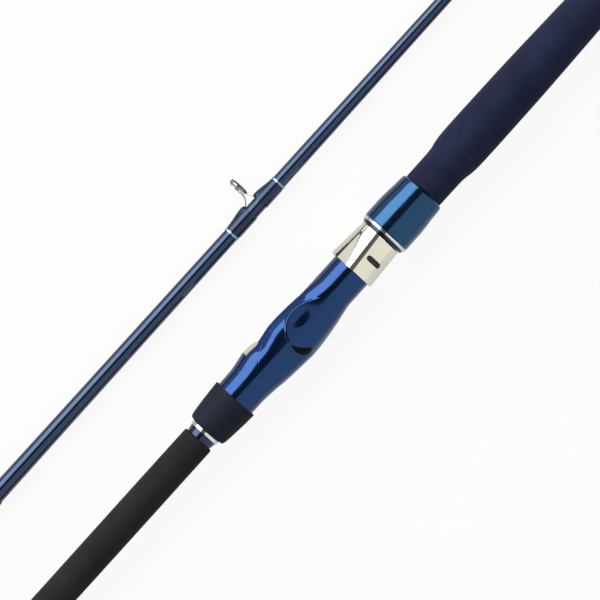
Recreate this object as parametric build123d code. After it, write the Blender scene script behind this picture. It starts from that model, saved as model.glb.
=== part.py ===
from build123d import *
from math import cos, pi, radians, sin
import os

os.makedirs("parts", exist_ok=True)

# A two-piece casting rod, taken apart, with its two sections lying side by side. Millimetres.
# The rod runs along +Y with its tips at +Y, the reel and the line guides face -X, and +Z is up.
# The part is drawn with the handle's axis above x = 0 and moved to its own origin when written.

# Layout: heights of the two axes above the surface and the gap between them.
HANDLE_Z = 16.3
TIP_Z = 6.4
TIP_X = -68.0
ORIGIN = (36.6, -133.5, 0.0)

# Handle section: stations along Y.
BUTT_Y = -500.0
BLANK_START_Y = -490.0
REAR_GRIP_START_Y = -486.0
BUTT_MOUTH_Y = -475.0
REAR_GRIP_END_Y = -126.0
CHECK_END_Y = -121.5
RING_END_Y = -118.8
COLLAR_END_Y = -93.0
SEAT_REAR_Y = -97.0
SEAT_STRAIGHT_Y = -4.0
SEAT_FRONT_Y = 14.0
BARREL_REAR_Y = -30.0
THREAD_START_Y = 16.0
HOOD_MOUTH_Y = 10.8
HOOD_STEP_Y = 28.5
HOOD_END_Y = 37.2
NUT_START_Y = 37.5
LIP_END_Y = 39.4
NUT_RING_END_Y = 41.4
NUT_INSERT_END_Y = 70.0
NUT_END_Y = 74.7
FOREGRIP_START_Y = 75.0
FOREGRIP_END_Y = 285.0
FOREGRIP_CHECK_END_Y = 290.0
HANDLE_END_Y = 560.0

# Reel seat: the slanted mouth and the wedge-shaped pocket that take the rear end of a reel's foot.
POCKET_REAR_Y = -86.0
HOOD_LIP_Y = -69.6
INSERT_FRONT_Y = -59.0
REAR_BUSH_STATIONS = [SEAT_REAR_Y, -60.0]
REAR_BUSH_LENGTH = 15.0
FRONT_BUSH_STATIONS = [-5.0, 60.0]
FRONT_BUSH_LENGTH = 10.0

# Handle section: radii.
BUTT_R = 16.3
REAR_GRIP_R = 10.2
BLANK_R = 7.75
BLANK_BORE_R = 6.0
BLANK_END_R = 7.3
SOCKET_R = 5.65
SOCKET_DEPTH = 58.0
SEAT_REAR_R = 13.3
SEAT_FRONT_R = 13.05
SEAT_BORE_R = 10.0
GLUE_GAP = 0.12
SADDLE_R = 12.9
CLEAR_R = 22.0
BARREL_BORE_R = 9.0
THREAD_R = 12.0
THREAD_PITCH = 2.0
THREAD_DEPTH = 0.7

# Sliding hood and lock nut.
HOOD_WALL = 0.45
HOOD_MOUTH_R = 15.2
HOOD_END_R = 13.6
HOOD_BULGE_MOUTH_R = 15.9
HOOD_BULGE_END_R = 14.0
HOOD_BORE_R = 13.4
HOOD_NECK_R = 12.3
LINER_SETBACK = 0.4
FOOT_HALF_ANGLE = 34.0
SADDLE_HALF_ANGLE = 33.0
FOOT_WALL_ANGLE = 37.0
BULGE_TAPER_ANGLE = 2.0
SLOT_LENGTH = 10.0
SLOT_WIDTH = 3.3
SLOT_Y = 23.0
SLOT_ANGLE = 29.0
SLOT_START_R = 11.0
SLOT_CUT = 8.0
NUT_LIP_R = 14.9
NUT_INSERT_R = 13.2
NUT_BORE_R = 12.2

# Tip section.
TIP_BUTT_Y = -307.0
TIP_END_Y = 763.0
TIP_BUTT_R = 5.58
TIP_OUTLINE = [
    (TIP_BUTT_Y, TIP_BUTT_R),
    (TIP_BUTT_Y + SOCKET_DEPTH, TIP_BUTT_R),
    (-219.0, 5.32),
    (-27.0, 4.73),
    (159.0, 4.05),
    (TIP_END_Y, 1.1),
]
TIP_BORE = [(TIP_BUTT_Y, 4.3), (159.0, 3.0), (380.0, 1.6), (380.0, 0.0), (TIP_END_Y, 0.0)]

# Line guides: name, station along Y, ring radius, height of the ring's centre above the rod's axis.
STRIPPER = ("stripper", 465.0, 10.0, 25.0)
TIP_GUIDES = [
    ("guide_1", 2.8, 6.4, 16.0),
    ("guide_2", 233.0, 5.6, 13.6),
    ("guide_3", 398.0, 5.1, 11.8),
    ("guide_4", 538.0, 4.7, 10.4),
    ("guide_5", 658.0, 4.5, 9.4),
]
BASE_RING_R = 6.4
BAND_WALL = 0.7
BAND_DEPTH = 1.6
RING_WALL = 1.0
RING_DEPTH = 2.2
BAR_R = 0.62
STRUT_R = 0.75
FOOT_WIDTH = 2.6
FOOT_THICKNESS = 1.25
FOOT_EDGE = 0.3
REAR_FOOT = (-22.0, -6.4)
FRONT_FOOT = (0.8, 15.5)
WRAP_WALL = 0.45
WRAP_RAMP_WIDTH = 4.4
TRIM_WALL = 0.6
TRIM_LENGTH = 1.8

# Guide wraps: start, end and the start of the trim band, from the guide's station at the base ring size.
WRAP_SPANS = [(-23.2, -6.6, -25.0), (1.4, 16.7, 16.7)]

# Ferrule and tip top.
FERRULE_END_Y = TIP_BUTT_Y + SOCKET_DEPTH
SOCKET_WRAP_LENGTH = 28.0
FERRULE_WRAP_LENGTH = 13.0
FERRULE_TRIM_LENGTH = 2.0
FERRULE_TRIM_WALL = 0.7
TOP_TUBE_R = 1.9
TOP_TUBE_Y = TIP_END_Y - 16.0
TOP_TUBE_END_Y = TIP_END_Y + 1.0
TOP_WRAP_LENGTH = 8.0
TOP_RING_R = 4.5
TOP_BAND_WALL = 0.5
TOP_RING_WALL = 0.8
TOP_RING_Y = TIP_END_Y + 3.0
TOP_RING_Z = 6.6


def turned(outline, bore=None):
    """A solid turned about the Y axis from (y, r) points, hollow down to the (y, r) points of its bore."""
    inner = bore or [(outline[0][0], 0.0), (outline[-1][0], 0.0)]
    points = [(r, y) for y, r in outline] + [(r, y) for y, r in reversed(inner)]
    return revolve(make_face(Polyline(*points, close=True)), Axis.Y)


def tube(y0, y1, r_out, r_in):
    return turned([(y0, r_out), (y1, r_out)], [(y0, r_in), (y1, r_in)])


def sector(profile, half_angle):
    """The part of a turned solid within half_angle degrees of the reel side, -X."""
    face = make_face(Polyline(*[(r, y) for y, r in profile], close=True))
    return Rot(Y=180 - half_angle) * revolve(face, Axis.Y, 2 * half_angle)


def write(node, shape, x=0.0, z=HANDLE_Z):
    export_step(Pos(ORIGIN[0] + x, ORIGIN[1], ORIGIN[2] + z) * shape, f"parts/{node}.step")


def radius_at(outline, y):
    for (y0, r0), (y1, r1) in zip(outline, outline[1:]):
        if y <= y1:
            return r0 + (r1 - r0) * (y - y0) / (y1 - y0)
    return outline[-1][1]


# ---------------------------------------------------------------- handle section

BLANK_OUTLINE = [
    (BLANK_START_Y, BLANK_R),
    (FOREGRIP_CHECK_END_Y, BLANK_R),
    (HANDLE_END_Y, BLANK_END_R),
]


def handle_blank():
    socket_y = HANDLE_END_Y - SOCKET_DEPTH
    bore = [
        (BLANK_START_Y, BLANK_BORE_R),
        (socket_y, BLANK_BORE_R),
        (socket_y, SOCKET_R),
        (HANDLE_END_Y, SOCKET_R),
    ]
    return turned(BLANK_OUTLINE, bore)


def butt_cap():
    outline = [
        (BUTT_Y, BUTT_R - 4.0),
        (BUTT_Y + 1.5, BUTT_R - 1.5),
        (BUTT_Y + 4.0, BUTT_R),
        (BUTT_MOUTH_Y - 5.0, BUTT_R),
        (BUTT_MOUTH_Y - 1.5, BUTT_R - 2.0),
        (BUTT_MOUTH_Y, BUTT_R - 4.5),
    ]
    bore = [
        (BUTT_Y, 0.0),
        (BLANK_START_Y, 0.0),
        (BLANK_START_Y, BLANK_R),
        (REAR_GRIP_START_Y, BLANK_R),
        (REAR_GRIP_START_Y, REAR_GRIP_R),
        (BUTT_MOUTH_Y, REAR_GRIP_R),
    ]
    return turned(outline, bore)


def rear_grip():
    outline = [
        (REAR_GRIP_START_Y, REAR_GRIP_R),
        (REAR_GRIP_END_Y - 1.8, REAR_GRIP_R),
        (REAR_GRIP_END_Y - 0.5, REAR_GRIP_R - 0.5),
        (REAR_GRIP_END_Y, REAR_GRIP_R - 1.2),
    ]
    return turned(outline, [(REAR_GRIP_START_Y, BLANK_R), (REAR_GRIP_END_Y, BLANK_R)])


def rear_check():
    outline = [(REAR_GRIP_END_Y, 8.8), (CHECK_END_Y - 1.5, 8.9), (CHECK_END_Y, 9.3)]
    return turned(outline, [(REAR_GRIP_END_Y, BLANK_R), (CHECK_END_Y, BLANK_R)])


def rear_ring():
    outline = [
        (CHECK_END_Y, 9.7),
        (CHECK_END_Y + 0.5, 10.1),
        (RING_END_Y - 0.5, 10.1),
        (RING_END_Y, 9.7),
    ]
    return turned(outline, [(CHECK_END_Y, BLANK_R), (RING_END_Y, BLANK_R)])


def rear_collar():
    outline = [
        (RING_END_Y, 10.6),
        (RING_END_Y + 0.8, 12.2),
        (RING_END_Y + 2.6, 13.3),
        (COLLAR_END_Y - 12.0, 14.2),
        (COLLAR_END_Y, 15.0),
    ]
    bore = [
        (RING_END_Y, BLANK_R),
        (SEAT_REAR_Y, BLANK_R),
        (SEAT_REAR_Y, SEAT_REAR_R + GLUE_GAP),
        (COLLAR_END_Y, SEAT_REAR_R + GLUE_GAP),
    ]
    return turned(outline, bore)


# Reel seat body: station, reach on the reel side, reach on the palm side, half width, squareness.
# The reel side is squared into two ears that stand each side of the reel's foot.
SEAT_STATIONS = [
    (SEAT_REAR_Y, SEAT_REAR_R, SEAT_REAR_R, SEAT_REAR_R, 2.0),
    (COLLAR_END_Y, SEAT_REAR_R, SEAT_REAR_R, SEAT_REAR_R, 2.0),
    (-84.0, 13.4, 13.4, 13.4, 2.0),
    (-78.0, 14.0, 13.8, 13.8, 2.0),
    (-69.6, 15.3, 14.8, 14.4, 2.1),
    (-60.0, 15.0, 15.9, 15.0, 2.2),
    (-54.0, 15.7, 16.4, 15.3, 2.5),
    (-48.0, 16.5, 16.9, 15.6, 2.8),
    (-42.0, 16.6, 17.2, 15.7, 2.8),
    (-36.0, 16.2, 17.1, 15.6, 2.8),
    (-24.0, 15.5, 15.9, 14.8, 2.6),
    (-18.0, 14.9, 15.1, 14.3, 2.4),
    (-12.0, 14.0, 14.0, 13.6, 2.2),
    (SEAT_STRAIGHT_Y, SEAT_FRONT_R, SEAT_FRONT_R, SEAT_FRONT_R, 2.0),
    (SEAT_FRONT_Y, SEAT_FRONT_R, SEAT_FRONT_R, SEAT_FRONT_R, 2.0),
]
SECTION_POINTS = 32


def seat_section(station):
    """A closed section of the seat: rounded on the palm side, squared off on the reel side."""
    y, reel_reach, palm_reach, half_width, squareness = station
    points = []
    for step in range(SECTION_POINTS):
        angle = 2 * pi * (step + 0.5) / SECTION_POINTS
        reel_side = cos(angle) < 0
        power = 2.0 / squareness if reel_side else 1.0
        reach = -reel_reach if reel_side else palm_reach
        across = half_width * abs(sin(angle)) ** power
        points.append((reach * abs(cos(angle)) ** power, across if sin(angle) > 0 else -across))
    plane = Plane(origin=(0, y, 0), x_dir=(1, 0, 0), z_dir=(0, -1, 0))
    return plane * make_face(Spline(*points, periodic=True))


INSERT_OUTLINE = [
    (POCKET_REAR_Y, SADDLE_R),
    (POCKET_REAR_Y, 13.1),
    (HOOD_LIP_Y - 0.4, 14.6),
    (HOOD_LIP_Y, 15.2),
    (INSERT_FRONT_Y, 13.4),
    (INSERT_FRONT_Y, SADDLE_R),
]


def fixed_hood_insert():
    pocket = [
        (POCKET_REAR_Y + 0.8, SADDLE_R - 1.0),
        (POCKET_REAR_Y + 0.8, 13.05),
        (HOOD_LIP_Y, 14.2),
        (INSERT_FRONT_Y + 5.0, 14.9),
        (INSERT_FRONT_Y + 5.0, SADDLE_R - 1.0),
    ]
    return sector(INSERT_OUTLINE, FOOT_WALL_ANGLE) - sector(pocket, FOOT_HALF_ANGLE)


def seat_body():
    body = loft([seat_section(station) for station in SEAT_STATIONS], ruled=True)
    body -= tube(SEAT_REAR_Y - 1, SEAT_FRONT_Y + 1, SEAT_BORE_R, 0.0)
    hood_room = INSERT_OUTLINE[:3] + [
        (HOOD_LIP_Y, CLEAR_R),
        (INSERT_FRONT_Y, CLEAR_R),
        (INSERT_FRONT_Y, SADDLE_R),
    ]
    saddle = [
        (INSERT_FRONT_Y - 1.5, SADDLE_R),
        (INSERT_FRONT_Y - 1.5, CLEAR_R),
        (SEAT_FRONT_Y + 1, CLEAR_R),
        (SEAT_FRONT_Y + 1, SADDLE_R),
    ]
    return body - sector(hood_room, FOOT_WALL_ANGLE) - sector(saddle, SADDLE_HALF_ANGLE)


def threaded_barrel():
    grooves = [(THREAD_START_Y - 1.0, THREAD_R)]
    count = int((FOREGRIP_START_Y - THREAD_START_Y - THREAD_PITCH) / THREAD_PITCH)
    for turn in range(count):
        y = THREAD_START_Y + turn * THREAD_PITCH
        grooves.append((y, THREAD_R))
        grooves.append((y + THREAD_PITCH / 2, THREAD_R - THREAD_DEPTH))
    outline = [(BARREL_REAR_Y, SEAT_BORE_R), (SEAT_FRONT_Y, SEAT_BORE_R), (SEAT_FRONT_Y, THREAD_R)]
    outline += grooves + [(FOREGRIP_START_Y - THREAD_PITCH, THREAD_R), (FOREGRIP_START_Y, THREAD_R)]
    return turned(outline, [(BARREL_REAR_Y, BARREL_BORE_R), (FOREGRIP_START_Y, BARREL_BORE_R)])


def bushes(stations, length, r_out):
    return Compound(children=[tube(y, y + length, r_out, BLANK_R) for y in stations])


def foregrip():
    swell = [
        (FOREGRIP_START_Y, 13.3),
        (93.0, 13.35),
        (102.0, 14.6),
        (112.0, 15.2),
        (132.0, 15.2),
        (174.0, 14.85),
        (216.0, 13.9),
        (250.0, 12.2),
        (276.0, 10.0),
        (FOREGRIP_END_Y, 9.0),
    ]
    bore = [(FOREGRIP_START_Y, BLANK_R), (FOREGRIP_END_Y, BLANK_R)]
    return turned(swell, bore)


def foregrip_check():
    outline = [
        (FOREGRIP_END_Y, 9.2),
        (FOREGRIP_END_Y + 1.2, 9.2),
        (FOREGRIP_CHECK_END_Y, BLANK_R + 0.5),
    ]
    return turned(outline, [(FOREGRIP_END_Y, BLANK_R), (FOREGRIP_CHECK_END_Y, BLANK_R)])


# ---------------------------------------------------------------- sliding hood


def hood_outside(offset):
    """The hood's round outside with its reel-side bulge, drawn in by offset."""
    body = turned([(HOOD_MOUTH_Y, HOOD_MOUTH_R - offset), (HOOD_END_Y, HOOD_END_R - offset)])
    bulge = [
        (HOOD_MOUTH_Y, 10.0),
        (HOOD_MOUTH_Y, HOOD_BULGE_MOUTH_R - offset),
        (HOOD_END_Y, HOOD_BULGE_END_R - offset),
        (HOOD_END_Y, 10.0),
    ]
    angle = FOOT_WALL_ANGLE if offset == 0 else FOOT_WALL_ANGLE - BULGE_TAPER_ANGLE
    return body + sector(bulge, angle)


def hood_slots():
    slots = []
    tilt = radians(SLOT_ANGLE)
    for side in (1, -1):
        outward = Vector(sin(tilt), 0, side * cos(tilt))
        tangent = Vector(cos(tilt), 0, -side * sin(tilt))
        origin = Vector(0, SLOT_Y, 0) + outward * SLOT_START_R
        plane = Plane(origin=origin, x_dir=tangent, z_dir=outward)
        slots.append(plane * extrude(SlotOverall(SLOT_LENGTH, SLOT_WIDTH), SLOT_CUT))
    return slots


def hood_shell():
    shell = hood_outside(0) - hood_outside(HOOD_WALL)
    for slot in hood_slots():
        shell -= slot
    return shell


def hood_liner():
    start = HOOD_MOUTH_Y + LINER_SETBACK
    liner = turned(
        [(start, HOOD_MOUTH_R - HOOD_WALL), (HOOD_END_Y, HOOD_END_R - HOOD_WALL)],
        [
            (start, HOOD_BORE_R),
            (HOOD_STEP_Y, HOOD_BORE_R),
            (HOOD_STEP_Y, HOOD_NECK_R),
            (HOOD_END_Y, HOOD_NECK_R),
        ],
    )
    pocket = [
        (HOOD_MOUTH_Y - 1.0, 13.0),
        (HOOD_MOUTH_Y - 1.0, 17.0),
        (HOOD_STEP_Y, 17.0),
        (HOOD_STEP_Y, 13.0),
    ]
    return liner & hood_outside(HOOD_WALL) - sector(pocket, FOOT_HALF_ANGLE)


# ---------------------------------------------------------------- lock nut


def nut_lip():
    return tube(NUT_START_Y, LIP_END_Y, NUT_LIP_R, HOOD_NECK_R)


def nut_ring():
    outline = [
        (LIP_END_Y, 15.8),
        (LIP_END_Y + 0.4, 16.2),
        (NUT_RING_END_Y - 0.4, 16.2),
        (NUT_RING_END_Y, 15.9),
    ]
    return turned(outline, [(LIP_END_Y, HOOD_NECK_R), (NUT_RING_END_Y, HOOD_NECK_R)])


def nut_insert():
    return tube(NUT_RING_END_Y, NUT_INSERT_END_Y, NUT_INSERT_R, NUT_BORE_R)


def nut_shell():
    outline = [
        (NUT_RING_END_Y, 16.0),
        (NUT_RING_END_Y + 0.5, BUTT_R),
        (54.0, BUTT_R),
        (60.0, 15.9),
        (66.0, 15.35),
        (71.0, 15.15),
        (73.3, 14.8),
        (NUT_END_Y, 13.9),
    ]
    bore = [
        (NUT_RING_END_Y, NUT_INSERT_R),
        (NUT_INSERT_END_Y, NUT_INSERT_R),
        (NUT_INSERT_END_Y, HOOD_NECK_R),
        (NUT_END_Y, HOOD_NECK_R),
    ]
    return turned(outline, bore)


# ---------------------------------------------------------------- guides, wraps and ferrule


def bar(start, end, radius):
    start, end = Vector(*start), Vector(*end)
    length = (end - start).length
    plane = Plane(origin=start, z_dir=end - start)
    return plane * extrude(Circle(radius), length)


def tongue(low_end, high_end, width):
    """A block along the rod, from its axis up to a top that runs between two (y, height) ends."""
    (y0, z0), (y1, z1) = low_end, high_end
    side = Polyline((y0, 0), (y1, 0), (y1, z1), (y0, z0), close=True)
    return Pos(-width / 2, 0, 0) * extrude(Plane.YZ * make_face(side), width)


def standing(y, z):
    """A plane across the rod at station y with its origin at height z."""
    return Plane(origin=(0, y, z), x_dir=(1, 0, 0), z_dir=(0, 1, 0))


def guide_frame(y, ring_r, height, blank_r):
    """The ring's band, the two feet, the bent rear legs and the front strut."""
    k = ring_r / BASE_RING_R
    band_in_r = ring_r - BAND_WALL * k
    depth = BAND_DEPTH * k
    frame = standing(y - depth / 2, height) * extrude(Circle(ring_r) - Circle(band_in_r), depth)
    thick, edge = blank_r + FOOT_THICKNESS * k, blank_r + FOOT_EDGE
    rear, front = [y + p * k for p in REAR_FOOT], [y + p * k for p in FRONT_FOOT]
    frame += tongue((rear[0], edge), (rear[1], thick), FOOT_WIDTH * k)
    frame += tongue((front[0], thick), (front[1], edge), FOOT_WIDTH * k)
    top_z = height - 0.5 * ring_r
    bottom_z = blank_r + 0.6 * k
    for side in (1, -1):
        top = (side * 0.84 * ring_r, y - 0.3 * k, top_z)
        knee = (side * 0.42 * ring_r, y - 4.6 * k, 0.45 * top_z + 0.55 * bottom_z)
        base = (side * 0.7 * k, rear[1] - 0.6 * k, bottom_z)
        frame += bar(top, knee, BAR_R * k)
        frame += bar(knee, base, BAR_R * k)
        frame += Pos(*knee) * Sphere(BAR_R * k)
    strut_top = (0, y + 0.2 * k, height - ring_r + 0.4 * k)
    frame += bar(strut_top, (0, y + 1.6 * k, bottom_z), STRUT_R * k)
    eye = standing(y - 4.8 * k, height) * extrude(Circle(band_in_r), 8 * k)
    return frame - eye


def guide(name, y, ring_r, height, outline):
    """A two-footed guide, built pointing up about the Y axis: frame, ring, thread wraps and trim bands."""
    k = ring_r / BASE_RING_R
    blank_r = radius_at(outline, y)
    blank = turned(outline)
    frame = guide_frame(y, ring_r, height, blank_r) - blank
    ring_out_r = ring_r - BAND_WALL * k
    insert = extrude(Circle(ring_out_r) - Circle(ring_out_r - RING_WALL * k), RING_DEPTH * k)
    insert = standing(y - RING_DEPTH * k / 2, height) * insert

    wraps = []
    trims = []
    near_top = blank_r + FOOT_THICKNESS * k + 0.5
    far_top = blank_r + 0.7
    for span in WRAP_SPANS:
        start, end, band_start = [y + p * k for p in span]
        tops = (far_top, near_top) if start < y else (near_top, far_top)
        ramp = tongue((start, tops[0]), (end, tops[1]), WRAP_RAMP_WIDTH * k)
        wraps.append(sleeve_on(outline, start, end, WRAP_WALL) + ramp - blank - frame)
        trims.append(sleeve_on(outline, band_start, band_start + TRIM_LENGTH * k, TRIM_WALL))
    upright = Rot(Y=-90)
    return {
        f"{name}_frame": upright * frame,
        f"{name}_ring": upright * insert,
        f"{name}_wraps": upright * Compound(children=wraps),
        f"{name}_trims": upright * Compound(children=trims),
    }


def sleeve_on(outline, y0, y1, wall):
    return turned(
        [(y0, radius_at(outline, y0) + wall), (y1, radius_at(outline, y1) + wall)],
        [(y0, radius_at(outline, y0)), (y1, radius_at(outline, y1))],
    )


def tip_top_frame():
    blank = turned(TIP_OUTLINE)
    band_in_r = TOP_RING_R - TOP_BAND_WALL
    frame = turned([(TOP_TUBE_Y, TOP_TUBE_R), (TOP_TUBE_END_Y, TOP_TUBE_R)]) - blank
    frame += standing(TOP_RING_Y - 0.7, TOP_RING_Z) * extrude(Circle(TOP_RING_R) - Circle(band_in_r), 1.4)
    for side in (1, -1):
        low = (side * 1.2, TOP_TUBE_Y + 8.0, 1.2)
        high = (side * 3.6, TOP_RING_Y, TOP_RING_Z - 2.6)
        frame += bar(low, high, 0.55)
    strut_top = (0, TOP_RING_Y, TOP_RING_Z - TOP_RING_R + 0.3)
    frame += bar((0, TIP_END_Y, 1.4), strut_top, 0.6)
    frame -= standing(TOP_RING_Y - 3.7, TOP_RING_Z) * extrude(Circle(band_in_r), 8)
    return Rot(Y=-90) * (frame - blank)


def tip_top_ring():
    out_r = TOP_RING_R - TOP_BAND_WALL
    ring = extrude(Circle(out_r) - Circle(out_r - TOP_RING_WALL), 2.0)
    return Rot(Y=-90) * (standing(TOP_RING_Y - 1.0, TOP_RING_Z) * ring)


# ---------------------------------------------------------------- write every node

SOCKET_TRIM_Y = HANDLE_END_Y - FERRULE_TRIM_LENGTH
FERRULE_WRAP_Y = FERRULE_END_Y + FERRULE_TRIM_LENGTH
HANDLE_NODES = {
    "butt_cap": butt_cap(),
    "rear_grip": rear_grip(),
    "rear_check": rear_check(),
    "rear_ring": rear_ring(),
    "rear_collar": rear_collar(),
    "handle_blank": handle_blank(),
    "seat_body": seat_body(),
    "fixed_hood_insert": fixed_hood_insert(),
    "threaded_barrel": threaded_barrel(),
    "rear_bushes": bushes(REAR_BUSH_STATIONS, REAR_BUSH_LENGTH, SEAT_BORE_R),
    "front_bushes": bushes(FRONT_BUSH_STATIONS, FRONT_BUSH_LENGTH, BARREL_BORE_R),
    "foregrip": foregrip(),
    "foregrip_check": foregrip_check(),
    "hood_shell": hood_shell(),
    "hood_liner": hood_liner(),
    "nut_lip": nut_lip(),
    "nut_ring": nut_ring(),
    "nut_insert": nut_insert(),
    "nut_shell": nut_shell(),
    "socket_wrap": sleeve_on(BLANK_OUTLINE, SOCKET_TRIM_Y - SOCKET_WRAP_LENGTH, SOCKET_TRIM_Y, 0.55),
    "socket_trim": sleeve_on(BLANK_OUTLINE, SOCKET_TRIM_Y, HANDLE_END_Y, FERRULE_TRIM_WALL),
}
HANDLE_NODES.update(guide(*STRIPPER, BLANK_OUTLINE))

TIP_NODES = {
    "tip_blank": turned(TIP_OUTLINE, TIP_BORE),
    "ferrule_trim": sleeve_on(TIP_OUTLINE, FERRULE_END_Y, FERRULE_WRAP_Y, FERRULE_TRIM_WALL),
    "ferrule_wrap": sleeve_on(TIP_OUTLINE, FERRULE_WRAP_Y, FERRULE_WRAP_Y + FERRULE_WRAP_LENGTH, 0.5),
    "tip_top_frame": tip_top_frame(),
    "tip_top_ring": tip_top_ring(),
    "tip_top_wrap": sleeve_on(TIP_OUTLINE, TOP_TUBE_Y - TOP_WRAP_LENGTH, TOP_TUBE_Y, 0.5),
}
for spec in TIP_GUIDES:
    TIP_NODES.update(guide(*spec, TIP_OUTLINE))

for node, shape in HANDLE_NODES.items():
    write(node, shape)
for node, shape in TIP_NODES.items():
    write(node, shape, TIP_X, TIP_Z)
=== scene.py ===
import math

import bmesh
import bpy
import numpy as np
from mathutils import Matrix, Vector

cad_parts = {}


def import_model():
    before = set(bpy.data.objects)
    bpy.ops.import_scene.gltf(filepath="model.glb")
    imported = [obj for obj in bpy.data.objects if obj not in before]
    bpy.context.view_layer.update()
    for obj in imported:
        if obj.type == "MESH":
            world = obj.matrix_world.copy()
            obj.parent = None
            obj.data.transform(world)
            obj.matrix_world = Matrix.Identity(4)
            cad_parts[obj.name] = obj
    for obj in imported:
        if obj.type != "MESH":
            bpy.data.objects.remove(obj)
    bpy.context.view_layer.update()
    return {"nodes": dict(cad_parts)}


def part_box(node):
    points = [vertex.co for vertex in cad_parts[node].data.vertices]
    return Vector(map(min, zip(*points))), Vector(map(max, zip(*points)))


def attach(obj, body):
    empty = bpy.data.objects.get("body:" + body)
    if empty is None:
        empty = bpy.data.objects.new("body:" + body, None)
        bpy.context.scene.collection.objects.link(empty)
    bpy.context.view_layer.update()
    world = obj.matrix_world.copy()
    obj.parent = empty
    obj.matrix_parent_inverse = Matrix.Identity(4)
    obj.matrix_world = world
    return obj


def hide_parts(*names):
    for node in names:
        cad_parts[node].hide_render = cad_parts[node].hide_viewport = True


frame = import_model()

# ---- Places
# Shapes are drawn in millimetres about one of two axes, the handle's and the tip section's. Stations
# run along +Y from the datum, 14 mm behind the front edge of the reel seat's body. On both axes "up"
# is the side that carries the reel and the guides, which is the row's -X.
MM = 0.001
SEAT_FRONT = 14.0
DATUM_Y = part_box("seat_body")[1].y - SEAT_FRONT * MM


class Rod:
    """One section's axis, and the way from millimetres about it to metres in the frame."""

    def __init__(self, node):
        low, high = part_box(node)
        self.x = (low.x + high.x) / 2
        self.z = (low.z + high.z) / 2

    def world(self, points):
        points = np.asarray(points, float) * MM
        return points + np.array((self.x, DATUM_Y, self.z))


HANDLE = Rod("nut_shell")
TIP = Rod("tip_blank")


def stations(node):
    """First and last station of a CAD node, in millimetres from the datum."""
    low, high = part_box(node)
    return (low.y - DATUM_Y) / MM, (high.y - DATUM_Y) / MM


def reach(node):
    """Outer radius of a round CAD node, in millimetres."""
    low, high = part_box(node)
    return (high.z - low.z) / 2 / MM


# ---- Curves


def monotone(points):
    """A smooth curve through (x, y) points that never swings past them, as a function of x.
    The slopes inside are weighted harmonic means, and level where the points turn."""
    xs, ys = np.array(points, float).T
    step = np.diff(xs)
    slope = np.diff(ys) / step
    tangent = np.zeros(len(xs))
    tangent[0], tangent[-1] = slope[0], slope[-1]
    for i in range(1, len(xs) - 1):
        if slope[i - 1] * slope[i] > 0:
            w1 = 2 * step[i] + step[i - 1]
            w2 = step[i] + 2 * step[i - 1]
            tangent[i] = (w1 + w2) / (w1 / slope[i - 1] + w2 / slope[i])

    def value(x):
        x = np.clip(x, xs[0], xs[-1])
        i = np.clip(np.searchsorted(xs, x) - 1, 0, len(step) - 1)
        t = (x - xs[i]) / step[i]
        return (
            (2 * t**3 - 3 * t**2 + 1) * ys[i]
            + (t**3 - 2 * t**2 + t) * step[i] * tangent[i]
            + (3 * t**2 - 2 * t**3) * ys[i + 1]
            + (t**3 - t**2) * step[i] * tangent[i + 1]
        )

    return value


def smoothstep(low, high, x):
    """0 at low to 1 at high, with level ends. It falls where low is the larger."""
    t = np.clip((x - low) / (high - low), 0.0, 1.0)
    return t * t * (3 - 2 * t)


def spline_points(points, steps):
    """Points on a Catmull-Rom curve through points, with steps to each span."""
    p = np.array(points, float)
    p = np.vstack((2 * p[0] - p[1], p, 2 * p[-1] - p[-2]))
    out = []
    for a, b, c, d in zip(p, p[1:], p[2:], p[3:]):
        square, cube = 2 * a - 5 * b + 4 * c - d, 3 * b - a - 3 * c + d
        for t in np.arange(steps) / steps:
            out.append(0.5 * (2 * b + (c - a) * t + square * t**2 + cube * t**3))
    out.append(p[-2])
    return np.array(out)


CORNER_SHARE = 0.48
CORNER_STEPS = 4
SMALLEST_ROUND = 1e-4
ON_AXIS = 1e-6


def rounded(points, radius=0.3):
    """
    A closed outline of (y, r) or (y, r, radius) corners with every corner rounded off. A corner on the
    axis stays sharp, and none takes more than CORNER_SHARE of the edges beside it.
    """
    corners = [np.array(p[:2], float) for p in points]
    radii = [p[2] if len(p) > 2 else radius for p in points]
    out = []
    for i, corner in enumerate(corners):
        back = corners[i - 1] - corner
        ahead = corners[(i + 1) % len(corners)] - corner
        room = CORNER_SHARE * min(np.linalg.norm(back), np.linalg.norm(ahead))
        size = min(radii[i], room)
        if size < SMALLEST_ROUND or corner[1] < ON_AXIS:
            out.append(corner)
            continue
        start = corner + back / np.linalg.norm(back) * size
        end = corner + ahead / np.linalg.norm(ahead) * size
        for t in np.linspace(0, 1, CORNER_STEPS + 1):
            out.append((1 - t) ** 2 * start + 2 * t * (1 - t) * corner + t**2 * end)
    return out


# ---- Meshes
SHARP = math.radians(32)
MERGE_M = 1e-7
DEGENERATE_M = 1e-8


def smooth(mesh):
    mesh.polygons.foreach_set("use_smooth", [True] * len(mesh.polygons))
    mesh.set_sharp_from_angle(angle=SHARP)


def new_object(name, data):
    obj = bpy.data.objects.new(name, data)
    bpy.context.scene.collection.objects.link(obj)
    return obj


def add_piece(name, mesh, material, body, nodes=()):
    obj = new_object(name, mesh)
    mesh.materials.append(material)
    smooth(mesh)
    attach(obj, body)
    if nodes:
        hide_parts(*nodes)
    return obj


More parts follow.
